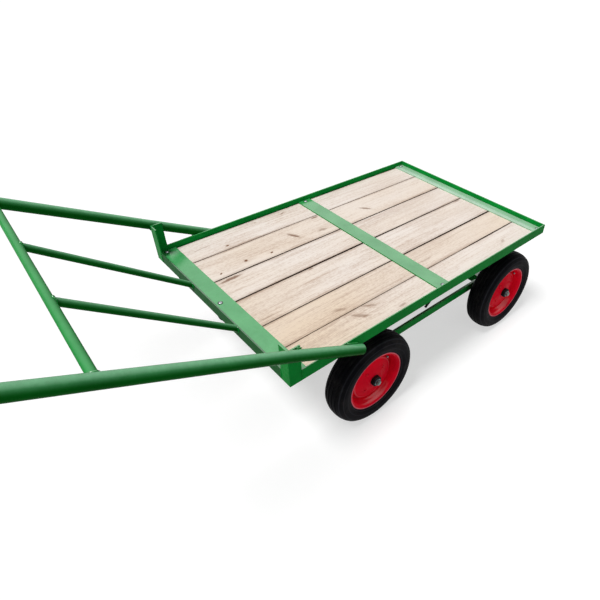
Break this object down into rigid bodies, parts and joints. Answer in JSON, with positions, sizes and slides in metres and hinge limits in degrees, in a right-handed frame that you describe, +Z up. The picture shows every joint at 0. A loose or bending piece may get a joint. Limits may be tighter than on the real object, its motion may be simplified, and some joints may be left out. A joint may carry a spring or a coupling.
{
  "type": "hand cart",
  "caption": "Platform hand cart with an angle-iron tray, plank deck and flat straps, braced tubular draw shafts and rubber-tyred wheels on fixed axles under the tray.",
  "frame": {"origin": "on the floor under the middle of the whole cart's box", "axes": "+X towards the draw shafts, +Y to the cart's side that faces the picture's camera, +Z up"},
  "size_m": [2.0578, 0.9104, 0.9702],
  "materials": {
    "green_paint": "gloss enamel",
    "wood": "bare sawn boards",
    "red_paint": "gloss enamel",
    "tyre": "satin rubber",
    "hub_black": "semi-gloss",
    "zinc": "zinc plated"
  },
  "bodies": {
    "cart": {"side_rail_l": "green_paint", "side_rail_r": "green_paint", "front_rail": "green_paint", "rear_rail": "green_paint", "plank_1": "wood", "plank_2": "wood", "plank_3": "wood", "plank_4": "wood", "plank_5": "wood", "plank_6": "wood", "strap_front": "green_paint", "strap_mid": "green_paint", "strap_rear": "green_paint", "post_l": "green_paint", "post_r": "green_paint", "shaft_l": "green_paint", "shaft_r": "green_paint", "cross_tube": "green_paint", "brace_l": "green_paint", "brace_r": "green_paint", "bolster_front": "green_paint", "bolster_rear": "green_paint", "bearer_mid": "green_paint", "lower_rail_l": "green_paint", "lower_rail_r": "green_paint", "leg_fl": "green_paint", "leg_fr": "green_paint", "leg_rl": "green_paint", "leg_rr": "green_paint", "axle_front": "green_paint", "axle_rear": "green_paint", "axle_nut_fl": "zinc", "axle_nut_fr": "zinc", "axle_nut_rl": "zinc", "axle_nut_rr": "zinc"},
    "wheel_fl": {"tyre_fl": "tyre", "rim_fl": "red_paint", "hub_fl": "hub_black"},
    "wheel_fr": {"tyre_fr": "tyre", "rim_fr": "red_paint", "hub_fr": "hub_black"},
    "wheel_rl": {"tyre_rl": "tyre", "rim_rl": "red_paint", "hub_rl": "hub_black"},
    "wheel_rr": {"tyre_rr": "tyre", "rim_rr": "red_paint", "hub_rr": "hub_black"}
  },
  "joints": [
    {"name": "wheel_fl_spin", "type": "hinge", "parent": "cart", "child": "wheel_fl", "pos_m": [-0.1119, 0.359, 0.172], "axis": [0, 1, 0], "continuous": true},
    {"name": "wheel_fr_spin", "type": "hinge", "parent": "cart", "child": "wheel_fr", "pos_m": [-0.1119, -0.359, 0.172], "axis": [0, 1, 0], "continuous": true},
    {"name": "wheel_rl_spin", "type": "hinge", "parent": "cart", "child": "wheel_rl", "pos_m": [-0.8569, 0.359, 0.172], "axis": [0, 1, 0], "continuous": true},
    {"name": "wheel_rr_spin", "type": "hinge", "parent": "cart", "child": "wheel_rr", "pos_m": [-0.8569, -0.359, 0.172], "axis": [0, 1, 0], "continuous": true}
  ]
}
